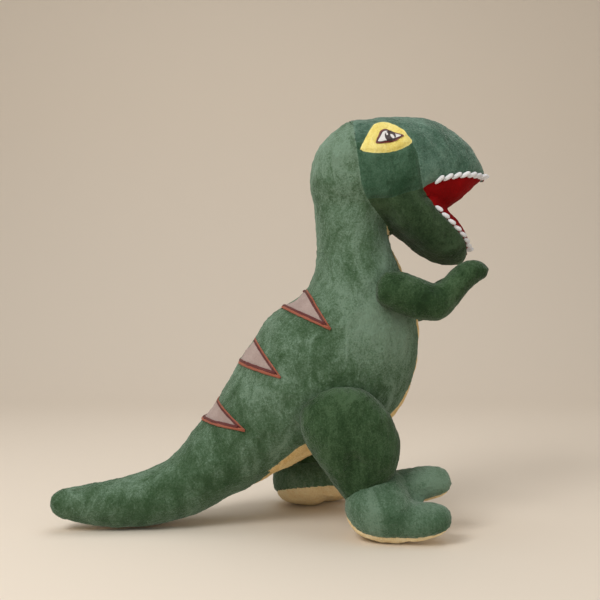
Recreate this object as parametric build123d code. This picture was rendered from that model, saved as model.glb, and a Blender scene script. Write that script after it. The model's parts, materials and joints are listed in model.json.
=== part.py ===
from build123d import *
import os
from math import cos, hypot, pi, radians, sin

# A stuffed dinosaur standing on two feet and its tail, in millimetres.
# +X runs to the nose, +Y to the animal's left and +Z up. The floor is z = 0.

# Sizes
plush = 2.0                 # plush cloth with its pile
felt = 1.4                  # felt of the back patches
thread = 0.9                # embroidered and stitched thread above the cloth
stitch_band = 4.0           # width of a stitched border
border_point = 2.2          # stitched bands that meet at a patch's sharp point
fill_gap = 0.3              # cloth to stuffing
travel_gap = 1.4            # between pieces that move past each other

belly_half_width = 64.0     # widest place of the trunk
chest_half_width = 52.0
neck_half_width = 38.0
tail_root_half_width = 43.0
tail_length = 171.0         # from the sway joint to the tip
tail_sway = 33.0            # the tip's rest place, towards the right

head_half_width = 49.0
muzzle_half_width = 41.0
muzzle_length = 62.0        # mouth corner to nose
jaw_half_width = 38.0
jaw_length = 72.0           # jaw joint to chin
tooth_width = 8.4
tooth_height = 11.0
tooth_thick = 3.0
tooth_pitch = 7.2

arm_half_thick = 17.0       # across the body
arm_seat = 38.0             # inner face of an arm, from the mid-plane
arm_hangs = {"right": 0.0, "left": 13.0}    # degrees an arm hangs below its drawn rings
thigh_half_long = 45.0
thigh_half_tall = 53.0
thigh_seat = 44.0           # inner face of a thigh, from the mid-plane
thigh_thick = 41.0
foot_length = 96.0
foot_half_width = 31.0
foot_half_thick = 20.0
foot_roll = 24.0            # the inner edge is the higher one
foot_side = 62.0            # middle of a foot, from the mid-plane
foot_middle = 30.0          # height of a foot's middle line
sole_drop = 10.0            # from that line down to the sole's seam
cleft_long = 44.0           # slot between the two toes, across the tip
cleft_wide = 5.0
cleft_high = 38.0
thigh_seam = 6.0            # from the seat out to the seam round a thigh

# Joints
ball_swell = 2.75                   # a turning end is rounder than the cloth behind it
neck_joint = (80.0, 296.0)          # x, z of an axis across the body
neck_ball = neck_half_width + ball_swell
tail_joint = (-38.0, -2.0)          # x, y of an upright axis
tail_ball = tail_root_half_width + ball_swell
jaw_joint = (131.0, 309.0)
jaw_ball = 23.5
jaw_closes = 15.0
shoulder_joint = (117.0, 223.0)
shoulder_ball = 23.0
hip_right = (73.0, 90.0)            # the right leg stands forward
hip_left = (36.0, 91.0)
heel_right = 70.0                   # x of each heel
heel_left = 0.0

far = 400.0                 # past every piece

# Outlines: each row is one ring: x, z, lean of the line, half depth, half width, sideways.


def tail_ring(share, z, lean, half_depth, half_width):
    x = tail_joint[0] - share * tail_length
    return (x, z, lean, half_depth, half_width, -tail_sway * share)


trunk_rings = [
    tail_ring(1.0, 30.0, -8, 4.0, 4.0),
    tail_ring(0.97, 28.5, -6, 10.0, 10.0),
    tail_ring(0.88, 25.5, -2, 17.0, 17.5),
    tail_ring(0.70, 24.0, 0, 23.0, 23.0),
    tail_ring(0.50, 26.0, 10, 27.0, 27.5),
    tail_ring(0.30, 36.5, 22, 30.0, 32.0),
    (-62.0, 54.0, 34, 35.0, 0.87 * tail_root_half_width, -0.14 * tail_sway),
    (-30.0, 78.0, 39, 43.0, tail_root_half_width, 0),
    (5.0, 110.0, 42, 57.5, 0.89 * belly_half_width, 0),
    (46.0, 141.0, 42, 76.0, belly_half_width, 0),
    (72.0, 171.0, 56, 74.5, 0.98 * belly_half_width, 0),
    (85.0, 206.0, 76, 62.5, chest_half_width + 5.0, 0),
    (89.0, 237.0, 90, 50.5, chest_half_width - 3.0, 0),
    (85.0, 268.0, 98, 40.8, neck_half_width + 3.0, 0),
    (79.5, 299.0, 100, 37.0, neck_half_width, 0),
    (77.5, 330.0, 90, 36.5, neck_half_width - 3.0, 0),
]

mouth_corner = (147.0, 326.5)
nose_x = mouth_corner[0] + muzzle_length


def muzzle_x(share):
    return mouth_corner[0] + share * muzzle_length


head_rings = [
    (38.5, 340.0, 0, 10.0, 12.0, 0),
    (43.0, 340.0, 0, 23.0, 24.0, 0),
    (57.0, 344.0, 0, 40.0, 37.0, 0),
    (80.0, 348.0, 0, 48.5, head_half_width - 2.0, 0),
    (107.0, 350.0, 0, 48.5, head_half_width, 0),
    (132.0, 355.0, 0, 45.5, head_half_width - 4.0, 0),
    (muzzle_x(0.13), 359.0, 0, 41.5, muzzle_half_width + 1.0, 0),
    (muzzle_x(0.42), 357.0, 0, 35.5, muzzle_half_width - 2.0, 0),
    (muzzle_x(0.70), 353.0, 0, 27.0, muzzle_half_width - 9.0, 0),
    (muzzle_x(0.91), 349.5, 0, 16.0, muzzle_half_width - 20.0, 0),
    (nose_x, 348.5, 0, 5.0, 9.0, 0),
]

palate_rings = [
    (muzzle_x(0.02), 324.0, 0, 7.0, 14.0, 0),
    (muzzle_x(0.20), 324.0, 0, 13.5, muzzle_half_width - 16.0, 0),
    (muzzle_x(0.48), 327.0, 0, 15.0, muzzle_half_width - 13.0, 0),
    (muzzle_x(0.75), 333.0, 0, 11.0, muzzle_half_width - 18.0, 0),
    (muzzle_x(0.93), 338.0, 0, 5.0, muzzle_half_width - 30.0, 0),
]


def jaw_ring(share, drop, lean, half_depth, half_width):
    x = jaw_joint[0] + share * jaw_length * cos(radians(38))
    z = jaw_joint[1] - share * jaw_length * sin(radians(38)) - drop
    return (x, z, lean, half_depth, half_width, 0)


jaw_rings = [
    jaw_ring(-0.18, 0, -44, 16.0, jaw_half_width - 5.0),
    jaw_ring(0.0, 0, -44, 21.5, jaw_half_width),
    jaw_ring(0.30, 4.0, -44, 22.0, jaw_half_width - 1.0),
    jaw_ring(0.58, 5.5, -40, 19.5, jaw_half_width - 4.0),
    jaw_ring(0.84, 4.5, -30, 17.0, jaw_half_width - 11.0),
    jaw_ring(1.02, 0.0, -20, 12.0, jaw_half_width - 20.0),
    jaw_ring(1.10, -3.0, -15, 5.0, jaw_half_width - 30.0),
]

# An arm: x, z, lean, half depth, share of the half thickness.
arm_rings = [
    (99.5, 227.5, -5, 8.5, 0.45),
    (106.0, 227.5, -5, 15.5, 0.84),
    (119.0, 226.0, -8, 19.8, 1.0),
    (138.0, 220.5, -7, 19.3, 1.0),
    (156.0, 219.0, 15, 16.8, 0.97),
    (167.0, 227.0, 33, 13.2, 0.92),
    (178.0, 239.5, 34, 12.0, 0.84),
    (189.0, 246.0, 15, 10.4, 0.72),
    (198.0, 246.3, 7, 8.0, 0.52),
    (203.0, 246.3, 2, 4.0, 0.28),
]

# A foot, heel to toes: share of its length, z, half width and half thickness
# as shares of the foot's own.
foot_rings = [
    (0.0, 26.0, 0.50, 0.45),
    (0.08, 26.0, 0.78, 0.85),
    (0.30, 26.5, 0.95, 1.30),
    (0.60, 30.0, 1.0, 1.60),
    (0.85, 33.0, 1.0, 1.32),
    (0.96, 36.0, 0.82, 0.95),
    (1.0, 38.0, 0.55, 0.60),
]


def ring(row, inset=0.0, roll=0.0, points=14):
    x, z, lean, half_depth, half_width, side = row
    half_depth = max(half_depth - inset, 1.0)
    half_width = max(half_width - inset, 1.0)
    tangent = (cos(radians(lean)), 0, sin(radians(lean)))
    across = (-sin(radians(roll)) * tangent[2], cos(radians(roll)), sin(radians(roll)) * tangent[0])
    plane = Plane(origin=(x, side, z), x_dir=across, z_dir=tangent)
    turns = [2 * pi * step / points for step in range(points)]
    spots = [plane.from_local_coords((half_width * cos(t), half_depth * sin(t), 0)) for t in turns]
    return Face(Wire([Edge.make_spline(spots, periodic=True)]))


def moved_ring(row, shift):
    # the same ring, shifted along its own line
    x, z, lean, half_depth, half_width, side = row
    return (x + shift * cos(radians(lean)), z + shift * sin(radians(lean)), lean, half_depth, half_width, side)


def stuffed(rows, inset=0.0, roll=0.0):
    # a closed form through the rings, its skin and both ends drawn in by the inset
    rows = [moved_ring(rows[0], inset)] + rows[1:-1] + [moved_ring(rows[-1], -inset)]
    return loft([ring(row, inset, roll) for row in rows])


def side_block(points, y_from=-far, y_to=far, curved=False):
    # what lies inside an outline drawn on the side view
    corners = [Vector(x, y_from, z) for x, z in points]
    if curved:
        outline = Wire([Edge.make_spline(corners, periodic=True)])
    else:
        outline = Wire.make_polygon(corners, close=True)
    return extrude(Face(outline), amount=y_to - y_from, dir=(0, 1, 0))


def cross_bar(place, radius):
    # a bar across the body, its middle at x, z
    x, z = place
    return Pos(x, 0, z) * Rot(90, 0, 0) * Cylinder(radius, 2 * far)


def post(place, radius):
    x, y = place
    return Pos(x, y, 0) * Cylinder(radius, 2 * far)


def side_bar(place, radius, y_from, side):
    # a bar that starts at a distance from the mid-plane and runs out to one side
    x, z = place
    return Pos(x, side * (y_from + far / 2), z) * Rot(90, 0, 0) * Cylinder(radius, far)


def half(side):
    return Pos(0, side * far / 2, 0) * Box(2 * far, far, 2 * far)


def turned_about(place, point, angle):
    # a point of the side view, turned nose-up about a joint
    x, z = point[0] - place[0], point[1] - place[1]
    c, s = cos(radians(angle)), sin(radians(angle))
    return (place[0] + x * c - z * s, place[1] + x * s + z * c)


def biggest(shape):
    # drops the crumbs that a cut leaves behind
    solids = shape.solids()
    largest = max(solid.volume for solid in solids)
    return Part() + [solid for solid in solids if solid.volume > 0.02 * largest]


nodes = {}


def keep(name, shape):
    nodes[name] = biggest(shape)


# Trunk, neck and tail
above_neck = side_block([(-far, neck_joint[1] - 20), (neck_joint[0] - far, neck_joint[1]),
                         (neck_joint[0] + far, neck_joint[1]), (neck_joint[0] + far, far * 2),
                         (-far, far * 2)])
behind_tail_joint = Pos(tail_joint[0] - far, tail_joint[1], 0) * Box(2 * far, 2 * far, 2 * far)
above_floor = Pos(0, 0, far) * Box(4 * far, 4 * far, 2 * far)
inside_floor = Pos(0, 0, far + plush) * Box(4 * far, 4 * far, 2 * far)

sides = {"right": -1, "left": 1}
hips = {"right": hip_right, "left": hip_left}
heels = {"right": heel_right, "left": heel_left}

hip_room = hypot(thigh_half_tall, 2) + travel_gap


def limb_seats(depth):
    # flat seats sunk into the trunk's sides, where the limbs are sewn on
    cutters = []
    for name, side in sides.items():
        cutters.append(side_bar(hips[name], hip_room + depth, thigh_seat - travel_gap - depth, side))
        cutters.append(side_bar(shoulder_joint, shoulder_ball + travel_gap + depth,
                                arm_seat - travel_gap - depth, side))
    return cutters


def trunk_form(inset):
    return stuffed(trunk_rings, inset)


head_zone = above_neck - cross_bar(neck_joint, neck_ball)
tail_zone = behind_tail_joint - post(tail_joint, tail_ball)
head_room = above_neck - cross_bar(neck_joint, neck_ball + travel_gap)
tail_room = behind_tail_joint - post(tail_joint, tail_ball + travel_gap)

trunk_skin_form = trunk_form(0)
trunk_inner_form = trunk_form(plush)
trunk_fill_form = trunk_form(plush + fill_gap)

trunk_outer = (trunk_skin_form - head_zone - tail_zone).cut(*limb_seats(0))
trunk_inner = trunk_inner_form.cut(*limb_seats(plush))
trunk_fill = (trunk_fill_form - head_zone - tail_zone).cut(*limb_seats(plush + fill_gap))
trunk_shell = trunk_outer - trunk_inner
keep("trunk_stuffing", trunk_fill)

belly_seam = [(103, 330), (112, 294), (126, 258), (137, 226), (142.5, 198), (142.5, 168), (138.5, 144),
              (131, 127), (117, 108), (98, 98), (62, 88), (30, 80), (2, 57), (-28, 37), (-60, 21),
              (-95, 8.5), (-130, 5), (-180, 9), (-203, 20), (-far, 20)]
belly_side = side_block(belly_seam + [(-far, -far), (far, -far), (far, 330)])
keep("belly_panel", trunk_shell & belly_side)
side_skin = trunk_shell - belly_side
for name, side in sides.items():
    keep("side_panel_" + name, side_skin & half(side))

tail_outer = trunk_skin_form & tail_room & above_floor
tail_inner = trunk_inner_form & tail_room & inside_floor
tail_fill = trunk_fill_form & tail_room & (Pos(0, 0, fill_gap) * inside_floor)
tail_shell = tail_outer - tail_inner
keep("tail_stuffing", tail_fill)
keep("tail_under_panel", tail_shell & belly_side)
tail_skin = tail_shell - belly_side
keep("tail_panel_right", tail_skin & half(-1).moved(Location((0, -tail_sway / 2, 0))))
keep("tail_panel_left", tail_skin - half(-1).moved(Location((0, -tail_sway / 2, 0))))

# felt patches over the spine: back edge, front edge and low point, with stitched borders
patches = {
    "shoulder_patch": ((14.5, 210), (33, 230), (58, 193)),
    "middle_patch": ((-33.5, 160.5), (-13, 184), (14, 145)),
    "rump_patch": ((-68, 102.5), (-50, 127), (-21, 94)),
}
felt_layer = trunk_form(-felt) - trunk_skin_form
thread_layer = trunk_form(-felt - thread) - trunk_skin_form
for name, (rear, front, low) in patches.items():
    middle = ((rear[0] + front[0]) / 2, (rear[1] + front[1]) / 2)
    out = Vector(middle[0] - low[0], 0, middle[1] - low[1]).normalized() * 30
    drawn = [low, rear, (rear[0] + out.X, rear[1] + out.Z), (front[0] + out.X, front[1] + out.Z), front]
    whole = side_block(drawn)
    to_low = Vector(low[0] - middle[0], 0, low[1] - middle[1]).normalized()
    along = Vector(front[0] - rear[0], 0, front[1] - rear[1]).normalized()
    point = border_point * stitch_band
    inner_low = (low[0] - point * to_low.X, low[1] - point * to_low.Z)
    inner_rear = (rear[0] + stitch_band * along.X, rear[1] + stitch_band * along.Z)
    inner_front = (front[0] - stitch_band * along.X, front[1] - stitch_band * along.Z)
    inner = side_block([inner_low, inner_rear, (inner_rear[0] + out.X, inner_rear[1] + out.Z),
                        (inner_front[0] + out.X, inner_front[1] + out.Z), inner_front])
    keep(name, felt_layer & inner)
    keep(name + "_border", (thread_layer & whole) - inner)

# Head
lip_line = [(mouth_corner[0] - 30, mouth_corner[1] - 12), mouth_corner,
            (muzzle_x(0.27), mouth_corner[1] + 8), (muzzle_x(0.58), mouth_corner[1] + 11.5),
            (nose_x + 20, mouth_corner[1] + 13.5)]
under_lip = side_block(lip_line + [(nose_x + 20, 200), (mouth_corner[0] - 30, 200)])
jaw_bar = cross_bar(jaw_joint, jaw_ball + travel_gap)


def head_form(inset):
    return stuffed(head_rings, inset) + (trunk_form(inset) & above_neck)


# the top of the jaw, where it stands when the mouth is closed
gum_reach = travel_gap + tooth_thick
closed_gum = []
for x, z, lean, half_depth, half_width, side in jaw_rings[1:]:
    rise = half_depth + gum_reach
    top = (x - rise * sin(radians(lean)), z + rise * cos(radians(lean)))
    closed_gum.append(turned_about(jaw_joint, top, jaw_closes))
closed_jaw = side_block(closed_gum + [(far, closed_gum[-1][1]), (far, 0), (closed_gum[0][0], 0)])

head_outer = (head_form(0) & head_room) - under_lip - jaw_bar
head_inner = head_form(plush)
palate_outer = stuffed(palate_rings) - jaw_bar - closed_jaw
palate_inner = stuffed(palate_rings, plush)
palate_fill = (stuffed(palate_rings, plush + fill_gap) & under_lip) - jaw_bar - closed_jaw
head_fill = (head_form(plush + fill_gap) & head_room) - under_lip - jaw_bar
keep("head_stuffing", head_fill + palate_fill)
keep("upper_mouth_lining", (palate_outer - palate_inner) & under_lip)
head_shell = head_outer - head_inner

nape_line = [(77, 410), (80, 364), (82.5, 346), (87, 322), (95, 309), (113, 292), (118, 270)]
nape_block = side_block(nape_line + [(-far, 270), (-far, 410)])
eye_outline = [(86, 362), (91.5, 374), (98, 384), (108, 388.5), (119, 386), (127.5, 377), (132.5, 368),
               (122, 363), (104, 360.5)]
cheek_outline = [(75, 362), (86, 362), (104, 360.5), (122, 363), (132.5, 368), (139.5, 356), (141, 347),
                 (144, 324), (150, 290), (60, 280)]
eye_mark = [(99, 367), (103, 376), (109, 381.5), (119, 379.5), (128, 375), (120, 370.5), (109, 367)]
side_span = {"right": (-far, 0), "left": (0, far)}
for name, side in sides.items():
    one_side = head_shell & half(side)
    nape = one_side & nape_block
    rest = one_side - nape_block
    eye_block = side_block(eye_outline, *side_span[name])
    cheek_block = side_block(cheek_outline, *side_span[name])
    keep("nape_panel_" + name, nape)
    keep("eye_patch_" + name, rest & eye_block)
    keep("cheek_panel_" + name, (rest - eye_block) & cheek_block)
    keep("muzzle_panel_" + name, rest - eye_block - cheek_block)
    eye_layer = stuffed(head_rings, -thread) - stuffed(head_rings)
    keep("embroidered_eye_" + name, eye_layer & side_block(eye_mark, *side_span[name], curved=True))

# Jaw
jaw_opens_room = 3.5
neck_bar = cross_bar(neck_joint, neck_ball + travel_gap + jaw_opens_room)
jaw_outer = stuffed(jaw_rings) - neck_bar
jaw_inner = stuffed(jaw_rings, plush)
keep("jaw_stuffing", stuffed(jaw_rings, plush + fill_gap) - neck_bar)
jaw_shell = jaw_outer - jaw_inner
gum_line = [jaw_ring(share, rise, 0, 1, 1)[:2] for share, rise in
            ((-0.4, -14), (0.0, -13), (0.30, -13), (0.58, -13.5), (0.84, -12), (1.02, -8), (1.4, -4))]
gum_side = side_block(gum_line + [(far, far), (gum_line[0][0], far)])
keep("lower_mouth_lining", jaw_shell & gum_side)
for name, side in sides.items():
    keep("jaw_panel_" + name, (jaw_shell - gum_side) & half(side))

# Teeth


def tooth_trim(spots, blockers):
    # rounded tabs in a row, each lapping the next, bent round the front of the lip
    line = Edge.make_spline([Vector(*spot) for spot in spots])
    count = int(line.length / tooth_pitch)
    tabs = []
    for step in range(count + 1):
        share = (step + 0.5) / (count + 1)
        here = line.position_at(share)
        ahead = line.tangent_at(share)
        out = ahead.cross(Vector(0, 0, 1)).normalized()
        plane = Plane(origin=here, x_dir=ahead, z_dir=out)
        tab = extrude(plane * Rot(0, 0, 90) * SlotOverall(tooth_height, tooth_width), tooth_thick)
        tabs.append(tab)
    trim = tabs[0].fuse(*tabs[1:])
    return trim.cut(*blockers)


def lip_spot(share, half_width, side):
    x = muzzle_x(share)
    z = mouth_corner[1] + 13.5 - 13.0 * (1 - share) ** 2
    return (x, side * half_width, z)


lip_side = [(0.06, muzzle_half_width - 8.5), (0.35, muzzle_half_width - 6.5), (0.65, muzzle_half_width - 11.0),
            (0.87, muzzle_half_width - 20.0), (0.98, muzzle_half_width - 32.0)]
upper_spots = [lip_spot(share, wide, -1) for share, wide in lip_side]
upper_spots += [lip_spot(share, wide, 1) for share, wide in reversed(lip_side)]
keep("upper_tooth_trim", tooth_trim(upper_spots, [head_outer, palate_outer, closed_jaw]))

gum_side_spots = [(0.28, -15.0, jaw_half_width - 8.0), (0.58, -13.5, jaw_half_width - 8.5),
                  (0.84, -12.0, jaw_half_width - 14.0), (1.02, -7.0, jaw_half_width - 22.0),
                  (1.10, -4.5, jaw_half_width - 31.0)]


def gum_spot(share, rise, half_width, side):
    x, z = jaw_ring(share, rise, 0, 1, 1)[:2]
    return (x, side * half_width, z)


lower_spots = [gum_spot(*spot, -1) for spot in gum_side_spots]
lower_spots += [gum_spot(*spot, 1) for spot in reversed(gum_side_spots)]
keep("lower_tooth_trim", tooth_trim(lower_spots, [jaw_outer]))

# Arms
for name, side in sides.items():
    arm_middle = side * (arm_seat + arm_half_thick)
    rows = []
    for x, z, lean, half_depth, share in arm_rings:
        x, z = turned_about(shoulder_joint, (x, z), -arm_hangs[name])
        rows.append((x, z, lean - arm_hangs[name], half_depth, share * arm_half_thick, arm_middle))
    arm_shell = stuffed(rows) - stuffed(rows, plush)
    outside = Pos(0, arm_middle + side * far / 2, 0) * Box(2 * far, far, 4 * far)
    keep("arm_stuffing_" + name, stuffed(rows, plush + fill_gap))
    keep("arm_outer_panel_" + name, arm_shell & outside)
    keep("arm_inner_panel_" + name, arm_shell - outside)

# Legs
thigh_dome = [(0.0, 1.0), (0.35, 1.0), (0.65, 0.93), (0.86, 0.74), (0.97, 0.44), (1.0, 0.20)]


def thigh_form(place, side, inset=0.0):
    # a stack of ovals, flat where it is sewn to the trunk and domed outside
    faces = []
    for depth, share in thigh_dome:
        y = side * (thigh_seat + inset + depth * (thigh_thick - 2 * inset))
        plane = Plane(origin=(place[0], y, place[1]), x_dir=(1, 0, 0), z_dir=(0, side, 0))
        turns = [2 * pi * step / 16 for step in range(16)]
        long_way = max(share * thigh_half_long - inset, 1.0)
        tall_way = max(share * thigh_half_tall - inset, 1.0)
        spots = [plane.from_local_coords((long_way * cos(t), tall_way * sin(t), 0)) for t in turns]
        faces.append(Face(Wire([Edge.make_spline(spots, periodic=True)])))
    return loft(faces)


def foot_form(heel, side, inset=0.0):
    rows = [(heel + share * foot_length, z, 0, thick * foot_half_thick, wide * foot_half_width, side * foot_side)
            for share, z, wide, thick in foot_rings]
    return stuffed(rows, inset, roll=-side * foot_roll)


for name, side in sides.items():
    hip = hips[name]
    heel = heels[name]
    thigh_outer = thigh_form(hip, side)
    thigh_inner = thigh_form(hip, side, plush)
    thigh_shell = thigh_outer - thigh_inner
    outside = Pos(0, side * (thigh_seat + thigh_seam + far / 2), 0) * Box(2 * far, far, 4 * far)
    keep("thigh_stuffing_" + name, thigh_form(hip, side, plush + fill_gap))
    keep("thigh_outer_panel_" + name, thigh_shell & outside)
    keep("thigh_inner_panel_" + name, thigh_shell - outside)

    foot_outer = (foot_form(heel, side) & above_floor) - thigh_outer
    foot_inner = (foot_form(heel, side, plush) & inside_floor) - thigh_outer
    foot_fill = (foot_form(heel, side, plush + fill_gap) & (Pos(0, 0, fill_gap) * inside_floor))
    foot_fill = foot_fill - thigh_form(hip, side, -fill_gap)
    # the cleft between the two toes
    cleft = Pos(heel + foot_length, side * foot_side, cleft_high) * Rot(side * foot_roll, 0, 0)
    cleft = cleft * Box(cleft_long, cleft_wide, 3 * foot_half_thick)
    foot_shell = foot_outer - foot_inner - cleft
    sole_plane = Pos(heel, side * foot_side, foot_middle) * Rot(side * foot_roll, 0, 0)
    low_side = sole_plane * Pos(0, 0, -sole_drop - far / 2) * Box(4 * far, 4 * far, far)
    keep("foot_stuffing_" + name, foot_fill - cleft)
    keep("foot_sole_" + name, foot_shell & low_side)
    keep("foot_upper_" + name, foot_shell - low_side)

# Files
os.makedirs("parts", exist_ok=True)
for name, shape in nodes.items():
    export_step(shape, "parts/" + name + ".step")
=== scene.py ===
import bpy, bmesh, json, math
import numpy as np
from mathutils import Matrix, Vector
from mathutils.bvhtree import BVHTree
from mathutils.kdtree import KDTree


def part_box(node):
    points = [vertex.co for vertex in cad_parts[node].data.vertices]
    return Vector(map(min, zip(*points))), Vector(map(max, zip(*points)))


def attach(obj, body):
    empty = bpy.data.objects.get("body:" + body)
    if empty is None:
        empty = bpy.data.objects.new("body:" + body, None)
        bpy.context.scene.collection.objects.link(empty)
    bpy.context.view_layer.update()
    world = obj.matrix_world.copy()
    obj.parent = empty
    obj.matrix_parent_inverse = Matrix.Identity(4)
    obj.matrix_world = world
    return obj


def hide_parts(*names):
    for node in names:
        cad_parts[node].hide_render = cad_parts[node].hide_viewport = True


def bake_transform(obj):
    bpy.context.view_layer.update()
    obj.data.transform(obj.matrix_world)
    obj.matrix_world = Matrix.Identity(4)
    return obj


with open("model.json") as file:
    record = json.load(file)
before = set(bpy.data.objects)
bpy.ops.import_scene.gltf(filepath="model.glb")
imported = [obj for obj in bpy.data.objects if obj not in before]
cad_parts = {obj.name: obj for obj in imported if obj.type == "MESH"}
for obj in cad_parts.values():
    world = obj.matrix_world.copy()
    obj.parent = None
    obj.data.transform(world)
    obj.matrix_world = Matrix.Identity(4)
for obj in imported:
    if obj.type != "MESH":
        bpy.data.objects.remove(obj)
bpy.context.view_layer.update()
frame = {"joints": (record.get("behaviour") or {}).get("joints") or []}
mm = 0.001
sides = {"right": -1, "left": 1}


def joint(name):
    return next(j for j in frame["joints"] if j["name"] == name)


hipPlace = {side: Vector(joint("hip_" + side)["pos_m"]) for side in sides}
shoulderPlace = Vector(joint("shoulder_right")["pos_m"])
tailPlace = Vector(joint("tail_sway")["pos_m"])


# small helpers

def clearSelection():
    if bpy.context.object and bpy.context.object.mode != "OBJECT":
        bpy.ops.object.mode_set(mode="OBJECT")
    bpy.ops.object.select_all(action="DESELECT")


def pick(obj):
    clearSelection()
    obj.select_set(True)
    bpy.context.view_layer.objects.active = obj


def newMesh(name, verts, faces):
    mesh = bpy.data.meshes.new(name)
    mesh.from_pydata([tuple(v) for v in verts], [], [tuple(f) for f in faces])
    mesh.validate()
    obj = bpy.data.objects.new(name, mesh)
    bpy.context.scene.collection.objects.link(obj)
    return obj


def applyAll(obj):
    pick(obj)
    for mod in list(obj.modifiers):
        bpy.ops.object.modifier_apply(modifier=mod.name)


def outward(obj):
    bm = bmesh.new()
    bm.from_mesh(obj.data)
    bmesh.ops.recalc_face_normals(bm, faces=bm.faces)
    bm.to_mesh(obj.data)
    bm.free()


def spots(obj):
    co = np.zeros(len(obj.data.vertices) * 3)
    obj.data.vertices.foreach_get("co", co)
    return co.reshape(-1, 3)


def setSpots(obj, co):
    obj.data.vertices.foreach_set("co", co.ravel())
    obj.data.update()


def normals(obj):
    n = np.zeros(len(obj.data.vertices) * 3)
    obj.data.vertices.foreach_get("normal", n)
    return n.reshape(-1, 3)


def remesh(obj, size):
    mod = obj.modifiers.new("remesh", "REMESH")
    mod.mode = "VOXEL"
    mod.voxel_size = size
    applyAll(obj)


def subdivide(obj, levels):
    mod = obj.modifiers.new("subdivide", "SUBSURF")
    mod.levels = levels
    mod.render_levels = levels
    applyAll(obj)


def relax(obj, turns, factor=0.5):
    mod = obj.modifiers.new("relax", "SMOOTH")
    mod.iterations = turns
    mod.factor = factor
    applyAll(obj)


def treeOf(obj):
    bm = bmesh.new()
    bm.from_mesh(obj.data)
    tree = BVHTree.FromBMesh(bm)
    bm.free()
    return tree


# stuffed forms: rings along a line, as rows of
# x, z, lean in degrees, depth up, depth down, half width, sideways, all in mm

def spread(rows, between):
    out = []
    last = len(rows) - 1
    for i in range(last):
        a, b, c, d = rows[max(i - 1, 0)], rows[i], rows[i + 1], rows[min(i + 2, last)]
        for step in range(between):
            t = step / between
            out.append([0.5 * (2 * q + (r - p) * t + (2 * p - 5 * q + 4 * r - s) * t * t
                               + (3 * q - p - 3 * r + s) * t ** 3) for p, q, r, s in zip(a, b, c, d)])
    out.append(list(rows[-1]))
    return out


def ringSpot(row, turn, roll, square):
    x, z, lean, up, down, wide, side = row
    lean, roll = math.radians(lean), math.radians(roll)
    rise = Vector((-math.sin(lean), 0, math.cos(lean)))
    across = Vector((0, math.cos(roll), 0)) + rise * math.sin(roll)
    rise = rise * math.cos(roll) - Vector((0, math.sin(roll), 0))
    c, s = math.cos(turn), math.sin(turn)
    power = 2 / (square[0] if s > 0 else square[1])
    c, s = math.copysign(abs(c) ** power, c), math.copysign(abs(s) ** power, s)
    out = across * (wide * c) + rise * ((up if s > 0 else down) * s)
    return (Vector((x, side, z)) + out) * mm


def closedForm(name, verts, around):
    # rings of equal count, one after the other, closed at both ends
    faces = []
    for start in range(0, len(verts) - around, around):
        for k in range(around):
            a, b = start + k, start + (k + 1) % around
            faces.append((a, b, b + around, a + around))
    faces.append(tuple(range(around - 1, -1, -1)))
    faces.append(tuple(range(len(verts) - around, len(verts))))
    obj = newMesh(name, verts, faces)
    outward(obj)
    return obj


def stuffedForm(name, rows, around=36, between=4, roll=0.0, square=(2, 2)):
    # square is how boxy the upper and the lower half are, 2 for a plain oval
    verts = []
    for row in spread(rows, between):
        verts += [ringSpot(row, 2 * math.pi * k / around, roll, square) for k in range(around)]
    return closedForm(name, verts, around)


def gridFaces(rows, columns):
    corners = [i * (columns + 1) + k for i in range(rows) for k in range(columns)]
    return [(a, a + 1, a + columns + 2, a + columns + 1) for a in corners]


def joined(name, parts):
    clearSelection()
    for part in parts:
        part.select_set(True)
    bpy.context.view_layer.objects.active = parts[0]
    if len(parts) > 1:
        bpy.ops.object.join()
    obj = bpy.context.object
    obj.name = name
    obj.data.name = name
    return obj


def puff(obj, held, pressure, cap, stiff=12.0):
    # fills the cloth with air; held is 0 to 1 for each vertex, 1 where a seam holds it
    before = spots(obj)
    group = obj.vertex_groups.new(name="held")
    for i, weight in enumerate(held):
        if weight > 0.01:
            group.add([i], float(weight), "REPLACE")
    mod = obj.modifiers.new("cloth", "CLOTH")
    cloth = mod.settings
    cloth.quality = 5
    cloth.mass = 0.3
    cloth.tension_stiffness = stiff
    cloth.compression_stiffness = stiff
    cloth.shear_stiffness = stiff / 3
    cloth.bending_stiffness = 0.6
    cloth.use_pressure = True
    cloth.uniform_pressure_force = pressure
    cloth.effector_weights.gravity = 0
    cloth.vertex_group_mass = "held"
    cloth.pin_stiffness = 1.0
    mod.collision_settings.use_collision = False
    scene = bpy.context.scene
    scene.frame_start, scene.frame_end = 1, 20
    for step in range(1, 21):
        scene.frame_set(step)
    shaped = obj.evaluated_get(bpy.context.evaluated_depsgraph_get())
    co = np.zeros(len(shaped.data.vertices) * 3)
    shaped.data.vertices.foreach_get("co", co)
    moved = co.reshape(-1, 3) - before
    length = np.linalg.norm(moved, axis=1, keepdims=True) + 1e-9
    obj.modifiers.remove(mod)
    obj.vertex_groups.clear()
    scene.frame_set(1)
    setSpots(obj, before + moved * np.minimum(1.0, cap / length))


def evened(obj, cloth):
    remesh(obj, cloth["voxel"] * mm)
    relax(obj, cloth["relax"])


def filled(obj, gaps, cloth):
    # gaps are the distances from the seams that hold the cloth down
    puff(obj, np.exp(-(gaps / (cloth["hold"] * mm)) ** 2), cloth["pressure"], cloth["cap"] * mm)
    subdivide(obj, 2)


# lumps of the filling and nap of the cloth, in the mesh itself

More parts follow.
